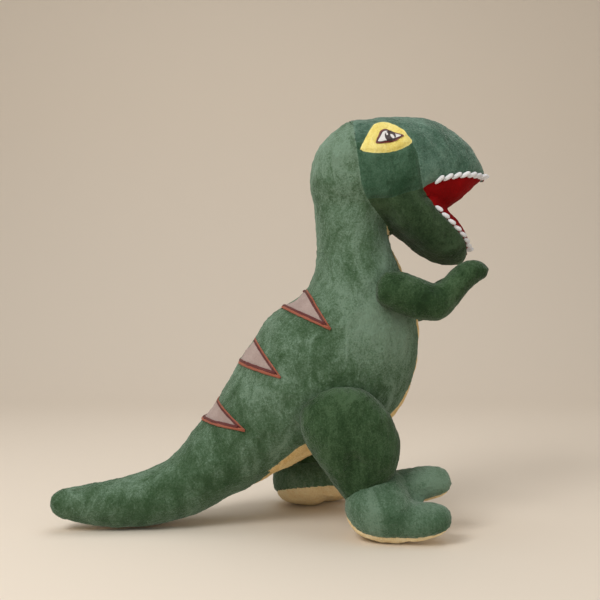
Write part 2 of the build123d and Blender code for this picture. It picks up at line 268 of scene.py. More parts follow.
def waves(co, size, seed, layers=4):
    # smooth random lumps about one size across
    rng = np.random.default_rng(seed)
    total = np.zeros(len(co))
    for _ in range(layers * 3):
        direction = rng.normal(size=3)
        direction /= np.linalg.norm(direction)
        span = size * rng.uniform(0.7, 1.6)
        bend = rng.normal(size=3) / (size * 3)
        total += np.sin(co @ direction * (2 * math.pi / span) + rng.uniform(0, 6.3)
                        + 1.3 * np.sin(co @ bend * 2 + rng.uniform(0, 6.3)))
    return total / math.sqrt(layers * 3)


def nap(obj, seed, lump=0.55, pile=0.16):
    co = spots(obj)
    move = lump * mm * waves(co, 26 * mm, seed) + 0.4 * lump * mm * waves(co, 11 * mm, seed + 1)
    move += pile * mm * waves(co, 4.2 * mm, seed + 2, layers=6)
    setSpots(obj, co + normals(obj) * move[:, None])


# panels: outlines on the side view, in mm

def curved(points, between=8, closed=False):
    rows = [list(p) for p in points]
    if closed:
        rows = [rows[-1]] + rows + [rows[0], rows[1]]
        smooth = spread(rows, between)
        return np.array(smooth[between:-between])
    return np.array(spread(rows, between))


def inside(outline, x, z):
    # which points lie inside an outline
    found = np.zeros(len(x), bool)
    px, pz = outline[:, 0], outline[:, 1]
    j = len(px) - 1
    for i in range(len(px)):
        crosses = (pz[i] > z) != (pz[j] > z)
        with np.errstate(divide="ignore", invalid="ignore"):
            edge = (px[j] - px[i]) * (z - pz[i]) / (pz[j] - pz[i]) + px[i]
        found ^= crosses & (x < edge)
        j = i
    return found


def faceMiddles(obj):
    middles = np.zeros(len(obj.data.polygons) * 3)
    obj.data.polygons.foreach_get("center", middles)
    return middles.reshape(-1, 3)


def borderOf(obj, labels):
    # vertices that two or more panels share
    first = np.full(len(obj.data.vertices), -1)
    border = np.zeros(len(obj.data.vertices), bool)
    corners = np.zeros(len(obj.data.loops), int)
    obj.data.loops.foreach_get("vertex_index", corners)
    sizes = np.zeros(len(obj.data.polygons), int)
    obj.data.polygons.foreach_get("loop_total", sizes)
    owner = np.repeat(labels, sizes)
    for corner, label in zip(corners, owner):
        if first[corner] < 0:
            first[corner] = label
        elif first[corner] != label:
            border[corner] = True
    return border


def straighten(obj, labels, lines, reach, middleY, strip=None):
    # slides shared vertices along the surface onto the seam lines, so that the borders run true
    border = borderOf(obj, labels)
    co = spots(obj)
    out = normals(obj)
    dense = np.concatenate([curved(line, 12) for line in lines]) * mm
    tree = KDTree(len(dense))
    for i, (x, z) in enumerate(dense):
        tree.insert((x, 0, z), i)
    tree.balance()
    for i in np.nonzero(border)[0]:
        x, y, z = co[i]
        near, _, gap = tree.find((x, 0, z))
        centre = middleY(x)
        if strip is not None and x < 0 and abs(y - centre) > 1.5 * mm:
            edge = float(strip(x / mm)) * mm
            move = np.array([0, centre + math.copysign(edge, y - centre) - y, 0])
        elif abs(y - centre) < gap:
            move = np.array([0, centre - y, 0])
        else:
            move = np.array([near[0] - x, 0, near[2] - z])
        size = np.linalg.norm(move)
        if size > reach or size < 1e-7:
            continue
        flat = move - out[i] * float(move @ out[i])
        flatSize = np.linalg.norm(flat)
        if flatSize < 1e-7:
            continue
        flat *= min(size * size / flatSize ** 2, 1.3 * reach / flatSize)
        co[i] += flat
    setSpots(obj, co)
    return border


def seamGap(obj, border, reach):
    # distance of every vertex from the nearest seam
    co = spots(obj)
    marked = np.nonzero(border)[0]
    tree = KDTree(len(marked))
    for n, i in enumerate(marked):
        tree.insert(co[i], n)
    tree.balance()
    gaps = np.full(len(co), reach)
    for i, spot in enumerate(co):
        found = tree.find(spot)
        gaps[i] = min(found[2], reach)
    return gaps


def creased(obj, gaps, depth, width):
    # the stitches draw the cloth in along a seam
    pull = depth * mm * np.exp(-(gaps / (width * mm)) ** 2)
    setSpots(obj, spots(obj) - normals(obj) * pull[:, None])


def panelFrom(obj, name, chosen, thick=1.3):
    # one sewn panel as its own closed piece, its edge turned in
    polygons = obj.data.polygons
    used = {}
    verts, faces = [], []
    for index in np.nonzero(chosen)[0]:
        face = []
        for corner in polygons[index].vertices:
            if corner not in used:
                used[corner] = len(verts)
                verts.append(obj.data.vertices[corner].co.copy())
            face.append(used[corner])
        faces.append(face)
    piece = newMesh(name, verts, faces)
    if "seam" in obj.data.attributes:
        values = obj.data.attributes["seam"].data
        attribute = piece.data.attributes.new("seam", "FLOAT", "POINT")
        attribute.data.foreach_set("value", [values[corner].value for corner in used])
    mod = piece.modifiers.new("cloth", "SOLIDIFY")
    mod.thickness = thick * mm
    mod.offset = -1
    applyAll(piece)
    pick(piece)
    bpy.ops.object.shade_smooth_by_angle(angle=math.radians(55))
    return piece


def finishPiece(piece, material):
    piece.data.materials.clear()
    piece.data.materials.append(material)
    return piece


# materials

def nodesFor(name):
    mat = bpy.data.materials.new(name)
    mat.use_nodes = True
    tree = mat.node_tree
    shader = tree.nodes["Principled BSDF"]
    return mat, tree, shader


def noiseNode(tree, place, scale, detail=3.0, rough=0.55, warp=0.0):
    node = tree.nodes.new("ShaderNodeTexNoise")
    node.inputs["Scale"].default_value = scale
    node.inputs["Detail"].default_value = detail
    node.inputs["Roughness"].default_value = rough
    node.inputs["Distortion"].default_value = warp
    tree.links.new(place, node.inputs["Vector"])
    return node.outputs["Fac"]


def mathNode(tree, kind, a, b):
    node = tree.nodes.new("ShaderNodeMath")
    node.operation = kind
    for socket, value in zip(node.inputs, (a, b)):
        if isinstance(value, (int, float)):
            socket.default_value = value
        else:
            tree.links.new(value, socket)
    return node.outputs[0]


def placeOn(tree, stretch=(1, 1, 1), turn=(0, 0, 0)):
    coords = tree.nodes.new("ShaderNodeTexCoord")
    mapping = tree.nodes.new("ShaderNodeMapping")
    mapping.inputs["Scale"].default_value = stretch
    mapping.inputs["Rotation"].default_value = turn
    tree.links.new(coords.outputs["Object"], mapping.inputs["Vector"])
    return mapping.outputs["Vector"]


def ramp(tree, value, stops):
    node = tree.nodes.new("ShaderNodeValToRGB")
    bar = node.color_ramp
    bar.interpolation = "B_SPLINE"
    while len(bar.elements) < len(stops):
        bar.elements.new(0.5)
    for element, (place, colour) in zip(bar.elements, stops):
        element.position = place
        element.color = (*colour, 1)
    tree.links.new(value, node.inputs["Fac"])
    return node.outputs["Color"]


def bumpNode(tree, height, distance, strength=1.0, after=None):
    node = tree.nodes.new("ShaderNodeBump")
    node.inputs["Distance"].default_value = distance
    node.inputs["Strength"].default_value = strength
    tree.links.new(height, node.inputs["Height"])
    if after is not None:
        tree.links.new(after, node.inputs["Normal"])
    return node.outputs["Normal"]


def napAndLightSpotNode(tree, x, z, reach, amount):
    # painted light and shade: lighter round a side-view spot for a positive amount and darker for a negative
    # one, fading out round it; it stands for how the light falls on the pile there and for the way the nap
    # was last stroked
    coords = tree.nodes.new("ShaderNodeTexCoord")
    mapping = tree.nodes.new("ShaderNodeMapping")
    mapping.inputs["Location"].default_value = (-x * mm, 0, -z * mm)
    mapping.inputs["Scale"].default_value = (1, 0, 1)
    tree.links.new(coords.outputs["Object"], mapping.inputs["Vector"])
    away = tree.nodes.new("ShaderNodeVectorMath")
    away.operation = "LENGTH"
    tree.links.new(mapping.outputs["Vector"], away.inputs[0])
    fade = tree.nodes.new("ShaderNodeMapRange")
    fade.interpolation_type = "SMOOTHERSTEP"
    fade.inputs["From Max"].default_value = reach * mm
    fade.inputs["To Min"].default_value = amount
    fade.inputs["To Max"].default_value = 0.0
    tree.links.new(away.outputs["Value"], fade.inputs["Value"])
    return fade.outputs["Result"]


greenSheen = (0.80, 0.92, 0.84)
yellowSheen = (1, 0.92, 0.7)


def plushMaterial(name, dark, middle, light, sheen=0.42, turn=(0, 0, 0), sheenTint=greenSheen, napAndLightSpots=()):
    # short velvety pile: patches where the nap lies different ways, streaks along the nap, single tufts,
    # paler pile at a seam, and painted light and shade round given spots
    mat, tree, shader = nodesFor(name)
    place = placeOn(tree, (1, 1, 0.6), turn)
    patches = noiseNode(tree, place, 17, 6, 0.62, 1.8)
    streaks = noiseNode(tree, placeOn(tree, (1, 1, 0.55), turn), 95, 4, 0.68, 1.6)
    tufts = noiseNode(tree, placeOn(tree), 560, 3, 0.7)
    tips = noiseNode(tree, placeOn(tree, (1, 1, 0.7), turn), 1150, 2, 0.6)
    mix = mathNode(tree, "MULTIPLY", patches, 0.42)
    for layer, share in ((streaks, 0.20), (tufts, 0.22), (tips, 0.16)):
        mix = mathNode(tree, "ADD", mix, mathNode(tree, "MULTIPLY", layer, share))
    # painted highlights and painted shade round the given spots, partly for the nap's direction and partly
    # for where the light falls
    for spot in napAndLightSpots:
        mix = mathNode(tree, "ADD", mix, napAndLightSpotNode(tree, *spot))
    seam = tree.nodes.new("ShaderNodeAttribute")
    seam.attribute_name = "seam"
    mix = mathNode(tree, "ADD", mix, mathNode(tree, "MULTIPLY", seam.outputs["Fac"], 0.045))
    colour = ramp(tree, mix, [(0.39, dark), (0.49, middle), (0.585, light)])
    tree.links.new(colour, shader.inputs["Base Color"])
    coarse = bumpNode(tree, streaks, 0.0022, 0.6)
    middleBump = bumpNode(tree, tufts, 0.0012, 0.8, coarse)
    fine = bumpNode(tree, tips, 0.0006, 0.8, middleBump)
    tree.links.new(fine, shader.inputs["Normal"])
    shader.inputs["Roughness"].default_value = 0.92
    shader.inputs["Specular IOR Level"].default_value = 0.12
    shader.inputs["Sheen Weight"].default_value = sheen
    shader.inputs["Sheen Roughness"].default_value = 0.36
    shader.inputs["Sheen Tint"].default_value = (*sheenTint, 1)
    return mat


def feltMaterial(name, dark, light, sheen=0.15):
    mat, tree, shader = nodesFor(name)
    fibres = noiseNode(tree, placeOn(tree, (1, 0.4, 1), (0.4, 0.3, 0.8)), 900, 4, 0.7, 1.2)
    clouds = noiseNode(tree, placeOn(tree), 60, 3)
    mix = mathNode(tree, "ADD", mathNode(tree, "MULTIPLY", fibres, 0.6),
                   mathNode(tree, "MULTIPLY", clouds, 0.4))
    tree.links.new(ramp(tree, mix, [(0.38, dark), (0.62, light)]), shader.inputs["Base Color"])
    tree.links.new(bumpNode(tree, fibres, 0.0005, 0.5), shader.inputs["Normal"])
    shader.inputs["Roughness"].default_value = 0.9
    shader.inputs["Specular IOR Level"].default_value = 0.15
    shader.inputs["Sheen Weight"].default_value = sheen
    shader.inputs["Sheen Roughness"].default_value = 0.5
    return mat


def threadMaterial(name, dark, light):
    # satin stitch: fine threads side by side
    mat, tree, shader = nodesFor(name)
    wave = tree.nodes.new("ShaderNodeTexWave")
    wave.inputs["Scale"].default_value = 420
    wave.inputs["Distortion"].default_value = 1.5
    wave.inputs["Detail"].default_value = 1.5
    tree.links.new(placeOn(tree, (1, 1, 1), (0.2, 0.7, 0.4)), wave.inputs["Vector"])
    tree.links.new(ramp(tree, wave.outputs["Fac"], [(0.2, dark), (0.8, light)]), shader.inputs["Base Color"])
    tree.links.new(bumpNode(tree, wave.outputs["Fac"], 0.0003, 0.6), shader.inputs["Normal"])
    shader.inputs["Roughness"].default_value = 0.45
    shader.inputs["Specular IOR Level"].default_value = 0.4
    shader.inputs["Sheen Weight"].default_value = 0.1
    return mat


# the spots paint highlights on the side of the chest, the crown and the nape, and paint shade along the tail
greenPlush = plushMaterial("greenPlush", (0.028, 0.064, 0.026), (0.062, 0.120, 0.060), (0.190, 0.285, 0.210),
                           sheenTint=(0.74, 0.95, 0.84),
                           napAndLightSpots=[(92, 190, 62, 0.080), (66, 372, 50, 0.055), (60, 338, 36, 0.042),
                                    (-60, 30, 150, -0.026), (-180, 25, 90, -0.034)])
cheekPlush = plushMaterial("cheekPlush", (0.017, 0.052, 0.024), (0.037, 0.089, 0.050), (0.080, 0.160, 0.104),
                           sheen=0.30, turn=(0.3, 0.6, 0.2))
jawPlush = plushMaterial("jawPlush", (0.013, 0.031, 0.012), (0.028, 0.056, 0.023), (0.064, 0.110, 0.056),
                         sheen=0.20, turn=(0.3, 0.9, 0.2))
# painted shade: a darker copy of the green plush for the arms and thighs, with a painted highlight on the
# thigh top
shadedLimbPlush = plushMaterial("shadedLimbPlush", (0.012, 0.033, 0.011), (0.027, 0.062, 0.023), (0.075, 0.135, 0.068),
                          sheen=0.28, turn=(0.5, 1.1, 0.3), napAndLightSpots=[(72, 134, 34, 0.055)])
# its spot paints shade on the top of the muzzle
muzzlePlush = plushMaterial("muzzlePlush", (0.026, 0.068, 0.042), (0.062, 0.132, 0.092),
                            (0.150, 0.250, 0.195), turn=(0.1, 1.2, 0.5), napAndLightSpots=[(150, 385, 34, -0.025)])
# its spot paints a highlight on the upper toes
footPlush = plushMaterial("footPlush", (0.032, 0.078, 0.038), (0.072, 0.138, 0.078), (0.170, 0.262, 0.190),
                          turn=(0.2, 1.4, 0.1), napAndLightSpots=[(150, 52, 40, 0.070)])
bellyPlush = plushMaterial("bellyPlush", (0.62, 0.38, 0.13), (0.84, 0.60, 0.27), (0.95, 0.76, 0.42),
                           sheen=0.3, sheenTint=yellowSheen)
solePlush = plushMaterial("solePlush", (0.78, 0.55, 0.25), (0.92, 0.72, 0.40), (0.97, 0.84, 0.56),
                          sheen=0.3, sheenTint=yellowSheen)
eyePlush = plushMaterial("eyePlush", (0.70, 0.54, 0.11), (0.86, 0.72, 0.20), (0.94, 0.85, 0.36),
                         sheen=0.3, sheenTint=(1, 0.95, 0.7))
patchFelt = feltMaterial("patchFelt", (0.30, 0.22, 0.20), (0.43, 0.34, 0.31))
mouthFelt = feltMaterial("mouthFelt", (0.16, 0.000, 0.000), (0.27, 0.000, 0.001), sheen=0.0)
toothCloth = feltMaterial("toothCloth", (0.66, 0.67, 0.71), (0.86, 0.87, 0.90))
darkStitch = threadMaterial("darkStitch", (0.060, 0.004, 0.003), (0.135, 0.012, 0.008))
# the bright outer band of the stitched border: orange-red thread whose brightness also stands in for the
# highlight along the raised stitching, a painted highlight
brightStitch = threadMaterial("brightStitch", (0.24, 0.050, 0.022), (0.38, 0.105, 0.050))
eyeRed = threadMaterial("eyeRed", (0.09, 0.005, 0.004), (0.17, 0.014, 0.010))
eyeBlack = threadMaterial("eyeBlack", (0.012, 0.004, 0.004), (0.035, 0.012, 0.010))
eyeWhite = threadMaterial("eyeWhite", (0.62, 0.60, 0.58), (0.86, 0.85, 0.84))
print("materials made")

# body: trunk, tail, neck and head in one stuffed form

tail = dict(length=171.0, sway=33.0)


def tailRow(share, z, lean, up, down, wide):
    return (tailPlace.x / mm - share * tail["length"], z, lean, up, down, wide, -tail["sway"] * share)


trunkRows = [
    tailRow(1.0, 29.0, -10, 5.0, 5.0, 5.0),
    tailRow(0.985, 28.5, -8, 10.0, 10.0, 10.0),
    tailRow(0.93, 26.5, -4, 14.5, 14.5, 14.5),
    tailRow(0.82, 24.5, -2, 18.5, 19.5, 19.5),
    tailRow(0.65, 24.0, 0, 23.5, 23.5, 24.0),
    tailRow(0.48, 27.0, 10, 27.0, 27.0, 28.0),
    tailRow(0.30, 36.5, 24, 29.5, 30.0, 32.0),
    (-62, 54, 34, 36.5, 35, 37.5, -4),
    (-30, 78, 39, 45, 43, 43, 0),
    (5, 110, 42, 59.5, 57, 55, 0),
    (46, 141, 42, 77.5, 77.5, 62.5, 0),
    (72, 171, 56, 74.5, 77, 61.5, 0),
    (85, 206, 76, 62, 63.5, 56, 0),
    (89, 237, 90, 50, 46.5, 48.5, 0),
    (85, 268, 98, 40.5, 34, 41, 0),
    (79.5, 299, 100, 36.7, 30, 38, 0),
    (77.5, 330, 90, 36, 30, 34, 0),
]
headRows = [
    (38.5, 338, 0, 8, 8, 9, 0),
    (42, 338, 0, 20, 20, 22, 0),
    (53, 341, 0, 37, 36, 35, 0),
    (75, 346, 0, 49, 47, 45, 0),
    (98, 347, 0, 51.5, 50, 48.5, 0),
    (118, 348, 0, 52.5, 49, 48.5, 0),
    (134, 350, 0, 50, 44, 46, 0),
    (150, 352, 0, 47.5, 39, 42.5, 0),
    (165, 352, 0, 43, 40, 38.5, 0),
    (178, 350, 0, 37.5, 37.5, 34.5, 0),
    (189, 347.5, 0, 31, 26.5, 29.5, 0),
    (198, 345.5, 0, 23.5, 15.5, 24, 0),
    (204.5, 344, 0, 14.5, 8.5, 18, 0),
    (210, 342.5, 0, 7, 5, 10.5, 0),
    (213, 342, 0, 3, 2, 4, 0),
]
jawRows = [
    (112, 324, -48, 8, 14, 34, 0),
    (121, 316, -47, 17, 19, 42.5, 0),
    (133, 304.5, -45, 24, 21, 43.5, 0),
    (146, 291.5, -44, 29.5, 20.5, 41, 0),
    (158, 280.5, -41, 30.5, 19, 37.5, 0),
    (169, 271.5, -37, 28.5, 17.5, 33, 0),
    (178, 266, -33, 24.5, 14, 27.5, 0),
    (184.5, 263.5, -28, 19.5, 10.5, 21, 0),
    (189.5, 262, -24, 14.5, 8, 14, 0),
    (192.5, 261, -22, 9, 5, 8, 0),
    (194, 260.5, -20, 3, 2, 3, 0),
]
mouthCorner = (146.0, 325.0)
lipLine = [(132, 318), mouthCorner, (155, 330.3), (166, 334.6), (180, 337.6), (194, 339.2), (216, 339.8)]
gumLine = [(134, 334), mouthCorner, (153, 316), (161, 306), (170, 296.8), (178, 289), (184.5, 282.2),
           (189.5, 276), (193.5, 270), (196.5, 263), (204, 250)]
jawSeam = [(80, 316), (93, 314.5), (112, 315), (123, 318.5), (134, 322), mouthCorner]
bellySeam = [(103, 320), (111.5, 296), (117.5, 275), (124.5, 255), (136, 226), (143.5, 198),
             (144, 170), (140.5, 145), (132, 127), (117.5, 110), (98, 101), (62, 92), (33.5, 82.5),
             (20, 72.5), (3.5, 58.5), (-24, 38), (-50, 22), (-90, 6), (-400, 6)]
napeSeam = [(76, 412), (79.5, 388), (81.5, 364), (83.5, 347), (87.5, 324), (95, 311), (104, 301.5),
            (112, 293), (116.5, 286), (120, 279), (126, 268), (135, 255), (146, 240)]
eyeOutline = [(84.5, 360), (90, 372), (96.5, 383.5), (102, 389.5), (110, 390.8), (118, 388.5), (125, 383),
              (130, 376), (134, 368.2), (125, 362), (114, 358.4), (102, 357.2), (92.5, 358)]
cheekFront = [(134, 368.2), (138.5, 358.5), (141, 347), (143, 336), mouthCorner]
chestSplit = [(20, 280), (60, 258), (100, 235), (150, 206)]

bodyCloth = dict(voxel=4.9, relax=4, hold=4.5, pressure=4.0, cap=3.2)
seam = dict(deep=1.5, wide=2.6, pale=1.3, crown=(370, 385), crownShare=0.35)

body = joined("body", [stuffedForm("trunkForm", trunkRows),
                       stuffedForm("headForm", headRows, square=(2, 2.5)),
                       stuffedForm("jawForm", jawRows, square=(2.7, 2.2))])
evened(body, bodyCloth)


def tailMiddle(x):
    start = tailPlace.x
    return 0.0 if x > start else -tail["sway"] * (start - x) / tail["length"]


def tailStrip(x):
    # half width of the pale strip under the tail, in mm
    return np.interp(x, [-205, -190, -150, -60, -25, -8, 3], [2.5, 4, 4.5, 4.5, 5, 9, 24])


def across(line, x, z):
    # true on the nose side of a line drawn from its top down
    points = curved(line)
    points = points[np.argsort(points[:, 1])]
    return x > np.interp(z, points[:, 1], points[:, 0])


def above(line, x, z):
    points = curved(line)
    points = points[np.argsort(points[:, 0])]
    return z > np.interp(x, points[:, 0], points[:, 1])


def bodyLabels(obj):
    # which panel each face belongs to
    x, y, z = (faceMiddles(obj) / mm).T
    down = np.zeros(len(obj.data.polygons) * 3)
    obj.data.polygons.foreach_get("normal", down)
    down = down.reshape(-1, 3)[:, 2] < -0.12
    middle = np.array([tailMiddle(v * mm) / mm for v in x])
    right = y < middle
    headZone = across(napeSeam, x, z) & (z > 240) & (x > 60)
    mouth = headZone & (x > mouthCorner[0] - 1) & ~above(lipLine, x, z) & above(gumLine, x, z)
    jawZone = headZone & ~above(jawSeam, x, z) & ~mouth & ~((x > mouthCorner[0]) & above(gumLine, x, z))
    cheek = headZone & ~jawZone & ~mouth & (z < 369) & ~across(cheekFront, x, z)
    eye = headZone & inside(curved(eyeOutline, 6, closed=True), x, z)
    fan = np.vstack([curved(bellySeam[:-1]), [(-90, -400), (400, -400), (400, 320)]])
    belly = ~headZone & inside(fan, x, z) & (x > 0)
    low = z < np.interp(x, [-205, -100, 0], [22, 30, 66])
    belly |= (x <= 0) & (np.abs(y - middle) < tailStrip(x)) & low
    upper = ~headZone & above(chestSplit, x, z) & (x > 0)

    labels = np.where(right, 1, 2)                     # side panels
    for chosen, one, other in ((upper, 3, 4), (headZone, 9, 10), (cheek, 5, 6), (eye, 7, 8),
                               (jawZone, 14, 15)):
        labels[chosen] = np.where(right, one, other)[chosen]
    labels[mouth & down] = 11
    labels[mouth & ~down] = 16
    labels[belly & ~upper] = 12
    labels[belly & upper] = 13
    return labels


bodySeams = [lipLine[1:], gumLine[1:], jawSeam, bellySeam[:-3], napeSeam[:-2], eyeOutline + eyeOutline[:1],
             cheekFront, chestSplit]


def bodySewn(obj, reach):
    labels = bodyLabels(obj)
    border = straighten(obj, labels, bodySeams, reach, tailMiddle, tailStrip)
    # the cut across the chest is no seam
    split = curved(chestSplit)
    co = spots(obj) / mm
    onSplit = np.abs(co[:, 2] - np.interp(co[:, 0], split[:, 0], split[:, 1])) < 2.5
    return labels, border & ~onSplit


_, coarseBorder = bodySewn(body, 0.0)
filled(body, seamGap(body, coarseBorder, 30 * mm), bodyCloth)
labels, border = bodySewn(body, 1.6 * mm)
gaps = seamGap(body, border, 12 * mm)
nap(body, 3)
crownFade = np.interp(spots(body)[:, 2] / mm, seam["crown"], [1.0, seam["crownShare"]])
creased(body, gaps, seam["deep"] * crownFade, seam["wide"])
attribute = body.data.attributes.new("seam", "FLOAT", "POINT")
attribute.data.foreach_set("value", np.exp(-(gaps / (seam["pale"] * mm)) ** 2).astype(np.float32))
bodyTree = treeOf(body)
print("body form", len(body.data.vertices))

bodyPanels = {
    1: ("side_panel_right", greenPlush, "green_plush", ["side_panel_right", "tail_panel_right"]),
    2: ("side_panel_left", greenPlush, "green_plush", ["side_panel_left", "tail_panel_left"]),
    12: ("belly_panel", bellyPlush, "belly_plush",
         ["belly_panel", "tail_under_panel", "trunk_stuffing", "tail_stuffing"]),
    3: ("neck_panel_right", greenPlush, "green_plush", ["nape_panel_right"]),
    4: ("neck_panel_left", greenPlush, "green_plush", ["nape_panel_left"]),
    13: ("throat_panel", bellyPlush, "belly_plush", ["head_stuffing"]),
    5: ("cheek_panel_right", cheekPlush, "dark_green_plush", ["cheek_panel_right"]),
    6: ("cheek_panel_left", cheekPlush, "dark_green_plush", ["cheek_panel_left"]),
    7: ("eye_patch_right", eyePlush, "eye_plush", ["eye_patch_right"]),
    8: ("eye_patch_left", eyePlush, "eye_plush", ["eye_patch_left"]),
    9: ("muzzle_panel_right", muzzlePlush, "green_plush", ["muzzle_panel_right"]),
    10: ("muzzle_panel_left", muzzlePlush, "green_plush", ["muzzle_panel_left"]),
    11: ("upper_mouth_lining", mouthFelt, "mouth_felt", ["upper_mouth_lining"]),
    14: ("jaw_panel_right", jawPlush, "dark_green_plush", ["jaw_panel_right", "jaw_stuffing"]),
    15: ("jaw_panel_left", jawPlush, "dark_green_plush", ["jaw_panel_left"]),
    16: ("lower_mouth_lining", mouthFelt, "mouth_felt", ["lower_mouth_lining"]),
}
for label, (name, material, slotName, stands) in bodyPanels.items():
    piece = panelFrom(body, name, labels == label)
    finishPiece(piece, material)
    if label in (1, 2, 12):
        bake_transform(piece)
    elif label in (14, 15, 16):
        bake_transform(piece)
    else:
        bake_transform(piece)
    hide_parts(*stands)
bpy.data.objects.remove(body)
print("body panels sewn")

# arms

armRows = [
    (98.8, 228, -5, 6, 6, 6),
    (100.5, 228, -5, 12, 11, 11),
    (106.5, 229, -5, 16.5, 16, 15),
    (116, 227.5, -6, 19.5, 19, 17.5),
    (128, 224, -8, 20, 20.5, 18),
    (142, 220, -6, 19, 19.5, 18),
    (155, 218.5, 14, 17, 18, 17.5),
    (165, 225, 31, 13.5, 14.5, 16.5),
    (174, 235.5, 35, 12.3, 13, 15.5),
    (182.5, 243.5, 25, 11.9, 12.5, 14.5),
    (190, 246.3, 14, 10.8, 11, 13),
    (197.5, 246.6, 8, 9, 9.2, 11),
    (202, 246.8, 4, 6, 6, 7.5),
    (204, 247, 0, 2.5, 2.5, 3),
]
armSide = shoulderPlace.y / mm
armCloth = dict(voxel=4.0, relax=2, hold=3.5, pressure=3.0, cap=1.6)
farArm = dict(hang=6, elbow=(150.0, 222.0), straighter=6)      # degrees and x, z


def armPiece(name):
    arm = stuffedForm(name, [row + (armSide,) for row in armRows])
    evened(arm, armCloth)
    filled(arm, np.abs(spots(arm)[:, 1] - armSide * mm), armCloth)
    nap(arm, 40, lump=0.45)
    creased(arm, np.abs(spots(arm)[:, 1] - armSide * mm), 0.9, 1.5)
    return arm


arm = armPiece("arm_right")


def mirrored(obj, name, shift=(0, 0, 0)):
    copy = obj.copy()
    copy.data = obj.data.copy()
    copy.name = name
    copy.data.name = name
    bpy.context.scene.collection.objects.link(copy)
    copy.data.transform(Matrix.Translation(shift) @ Matrix.Diagonal((1, -1, 1, 1)))
    copy.data.flip_normals()
    return copy


def smooth(obj):
    pick(obj)
    bpy.ops.object.shade_smooth_by_angle(angle=math.radians(60))


smooth(arm)
arms = {"right": arm, "left": mirrored(arm, "arm_left")}
co = spots(arms["left"]) / mm
share = np.clip((co[:, 0] - farArm["elbow"][0] + 6) / 22, 0, 1)
bend = math.radians(farArm["straighter"]) * share * share * (3 - 2 * share)
ahead, over = co[:, 0] - farArm["elbow"][0], co[:, 2] - farArm["elbow"][1]
co[:, 0] = farArm["elbow"][0] + ahead * np.cos(bend) + over * np.sin(bend)
co[:, 2] = farArm["elbow"][1] - ahead * np.sin(bend) + over * np.cos(bend)
setSpots(arms["left"], co * mm)
hang = Matrix.Rotation(math.radians(farArm["hang"]), 4, "Y")
toShoulder = Matrix.Translation(shoulderPlace)
arms["left"].data.transform(toShoulder @ hang @ toShoulder.inverted())
for side, piece in arms.items():
    finishPiece(piece, shadedLimbPlush)
    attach(piece, "arm_" + side)
    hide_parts("arm_stuffing_" + side, "arm_outer_panel_" + side, "arm_inner_panel_" + side)
print("arms sewn")

# thighs: one outline stacked from the seat outward and rounded off

thigh = dict(seat=43.0, thick=42.0, middle=(75.0, 89.0), ankleThin=0.22, ankleTop=66.0)
thighCloth = dict(voxel=4.6, relax=3, hold=5, pressure=3.0, cap=2.5)
thighOutline = [(28, 112), (33, 124.5), (46, 134.5), (62, 140), (78, 140.5), (93, 135), (107, 121),
                (116.5, 104), (120.5, 86), (118, 64), (107, 45.5), (91, 34), (73, 31), (57, 53),
                (40, 78), (29.5, 98)]
thighDome = [(0.0, 0.90), (0.10, 0.97), (0.35, 1.0), (0.58, 0.97), (0.76, 0.88), (0.90, 0.69), (0.97, 0.45),
             (1.0, 0.16)]


def thighForm():
    verts = []
    outline = curved(thighOutline, 3, closed=True)
    for depth, share in spread(thighDome, 4):
        for x, z in outline:
            low = min(1.0, max(0.0, (thigh["ankleTop"] - z) / 30))
            out = thigh["seat"] + depth * thigh["thick"] * (1 - thigh["ankleThin"] * low)
            verts.append(Vector((thigh["middle"][0] + share * (x - thigh["middle"][0]), -out,
                                 thigh["middle"][1] + share * (z - thigh["middle"][1]))) * mm)
    return closedForm("thighForm", verts, len(outline))


thighPiece = thighForm()
evened(thighPiece, thighCloth)
filled(thighPiece, np.abs(spots(thighPiece)[:, 1] + (thigh["seat"] + 5) * mm), thighCloth)
nap(thighPiece, 60)
thighPiece.name = "thigh_right"
smooth(thighPiece)
legShift = hipPlace["left"] - hipPlace["right"]
legShift.y = 0
thighs = {"right": thighPiece, "left": mirrored(thighPiece, "thigh_left", legShift)}
for side, piece in thighs.items():
    finishPiece(piece, shadedLimbPlush)
    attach(piece, "leg_" + side)
    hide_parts("thigh_stuffing_" + side, "thigh_outer_panel_" + side, "thigh_inner_panel_" + side)
print("thighs sewn")

# feet: each rolled onto its outer edge, with two toes

footCloth = dict(voxel=3.8, relax=2, hold=4, pressure=3.0, cap=1.6)
foot = dict(side={"right": -57.5, "left": -66.0}, heel=70.0, middle=31.0, soleRise=0.06,
            roll={"right": 40.0, "left": 18.0}, toeAcross=20.0,
            soleLevel={"right": -2.5, "left": -15.0}, toeDrop={"right": 0, "left": 8})
footRows = [
    (0, 34, 0, 7, 7, 8),
    (3.5, 33, 0, 16, 15, 17),
    (12, 32, 0, 23.5, 22, 25.5),
    (27, 31, 2, 27.5, 25, 31.5),
    (42, 31, 4, 28, 25.5, 34),
    (52, 32, 5, 24, 23, 34),
    (59, 33, 5, 14, 14, 28),
]
toeRows = [
    (42, 0, 5, 13, 13, 14),
    (58, 0.5, 6, 15.5, 15, 16.5),
    (74, 2.5, 8, 15, 14.5, 16.5),
    (86, 4.5, 10, 12.5, 12.5, 15),
    (93, 6, 10, 9, 9.5, 11.5),
    (96.5, 6.5, 10, 4.5, 5, 6),
]


def footPart(rows, side, across=0.0, z=0.0, longer=0.0, drop=0.0):
    roll = foot["roll"][side]
    turn = math.radians(roll)
    shifted = []
    for ahead, height, lean, up, down, wide in rows:
        shifted.append((foot["heel"] + ahead * (1 + longer), height + z + across * math.sin(turn), lean, up,
                        down + drop * min(1.0, down / 13), wide,
                        foot["side"][side] + across * math.cos(turn)))
    return stuffedForm("footForm", shifted, around=28, roll=roll, square=(2.2, 2.2))


